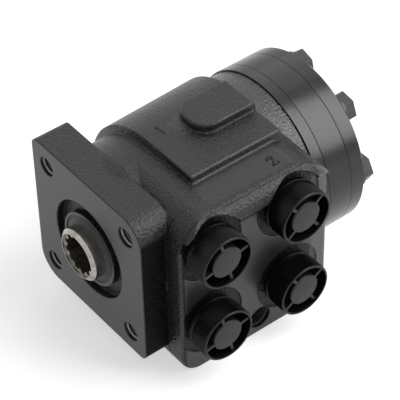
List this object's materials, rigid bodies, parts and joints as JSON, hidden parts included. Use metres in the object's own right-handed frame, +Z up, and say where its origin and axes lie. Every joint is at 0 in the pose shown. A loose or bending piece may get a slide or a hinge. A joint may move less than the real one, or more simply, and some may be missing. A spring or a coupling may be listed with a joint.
{
  "type": "orbital steering unit",
  "caption": "Load-sensing orbital steering unit: square column flange, side port face with four plugged ports, gear set and end cover on one shaft axis.",
  "frame": {"origin": "centre of the column bolt circle, on the column face and the shaft axis", "axes": "+X along the shaft from the column face to the end cover, -Y out of the port face, +Z up out of the cast top pad"},
  "size_m": [0.1383, 0.1104, 0.0992],
  "materials": {
    "painted_cast_iron": "black paint, semi-gloss",
    "steel": "machined",
    "painted_steel": "black paint, satin",
    "nitrile_rubber": "matt",
    "blackened_bolt_steel": "black oxide",
    "black_plastic": "moulded, satin"
  },
  "bodies": {
    "casing": {"housing": "painted_cast_iron", "dust_seal": "nitrile_rubber", "shaft_seal": "nitrile_rubber", "bearing_outer_race": "steel", "distributor_plate": "painted_steel", "plate_seal_ring": "nitrile_rubber", "rim_seal_ring": "nitrile_rubber", "cover_seal_ring": "nitrile_rubber", "gear_rim": "painted_steel", "end_cover": "painted_steel", "cover_bolts": "blackened_bolt_steel", "pin_bolt": "blackened_bolt_steel", "bolt_washers": "blackened_bolt_steel", "check_valve_seat": "steel", "check_valve_stop": "steel"},
    "bearing_cage": {"bearing_needle_cage": "steel"},
    "sleeve_set": {"sleeve": "steel", "cross_pin": "steel", "spring_ring": "steel", "centring_springs": "steel", "bearing_inner_race": "steel"},
    "spool": {"spool": "steel"},
    "orbiting_spacer": {"distance_piece": "steel"},
    "rotor": {"rotor": "steel"},
    "cardan": {"cardan_shaft": "steel"},
    "check_ball": {"check_valve_ball": "steel"},
    "plug_a": {"port_plug_a": "black_plastic"},
    "plug_b": {"port_plug_b": "black_plastic"},
    "plug_c": {"port_plug_c": "black_plastic"},
    "plug_d": {"port_plug_d": "black_plastic"}
  },
  "joints": [
    {"name": "sleeve_spin", "type": "hinge", "parent": "casing", "child": "sleeve_set", "pos_m": [0.033, 0, 0], "axis": [1, 0, 0], "continuous": true},
    {"name": "spool_deflection", "type": "hinge", "parent": "sleeve_set", "child": "spool", "pos_m": [0.033, 0, 0], "axis": [1, 0, 0], "range_deg": [-10, 10], "stiffness_Nm_per_rad": 6, "deforming": ["centring_springs"]},
    {"name": "cage_spin", "type": "hinge", "parent": "casing", "child": "bearing_cage", "pos_m": [0.01425, 0, 0], "axis": [1, 0, 0], "continuous": true},
    {"name": "spacer_orbit", "type": "hinge", "parent": "casing", "child": "orbiting_spacer", "pos_m": [0.1102, 0, 0], "axis": [1, 0, 0], "continuous": true},
    {"name": "rotor_spin", "type": "hinge", "parent": "orbiting_spacer", "child": "rotor", "pos_m": [0.1102, -0.003, 0], "axis": [1, 0, 0], "continuous": true},
    {"name": "cardan_spin", "type": "hinge", "parent": "orbiting_spacer", "child": "cardan", "pos_m": [0.033, 0, 0], "axis": [0.9992, -0.0388, 0], "continuous": true},
    {"name": "check_ball_lift", "type": "slide", "parent": "casing", "child": "check_ball", "axis": [1, 0, 0], "range_m": [0, 0.002]},
    {"name": "plug_a_pull", "type": "slide", "parent": "casing", "child": "plug_a", "axis": [0, -1, 0], "range_m": [0, 0.05]},
    {"name": "plug_b_pull", "type": "slide", "parent": "casing", "child": "plug_b", "axis": [0, -1, 0], "range_m": [0, 0.05]},
    {"name": "plug_c_pull", "type": "slide", "parent": "casing", "child": "plug_c", "axis": [0, -1, 0], "range_m": [0, 0.05]},
    {"name": "plug_d_pull", "type": "slide", "parent": "casing", "child": "plug_d", "axis": [0, -1, 0], "range_m": [0, 0.05]}
  ],
  "couplings": [
    {"joint": "cage_spin", "follows": "sleeve_spin", "ratio": 0.5},
    {"joint": "spacer_orbit", "follows": "sleeve_spin", "ratio": -6},
    {"joint": "rotor_spin", "follows": "sleeve_spin", "ratio": 7},
    {"joint": "cardan_spin", "follows": "sleeve_spin", "ratio": 7}
  ]
}
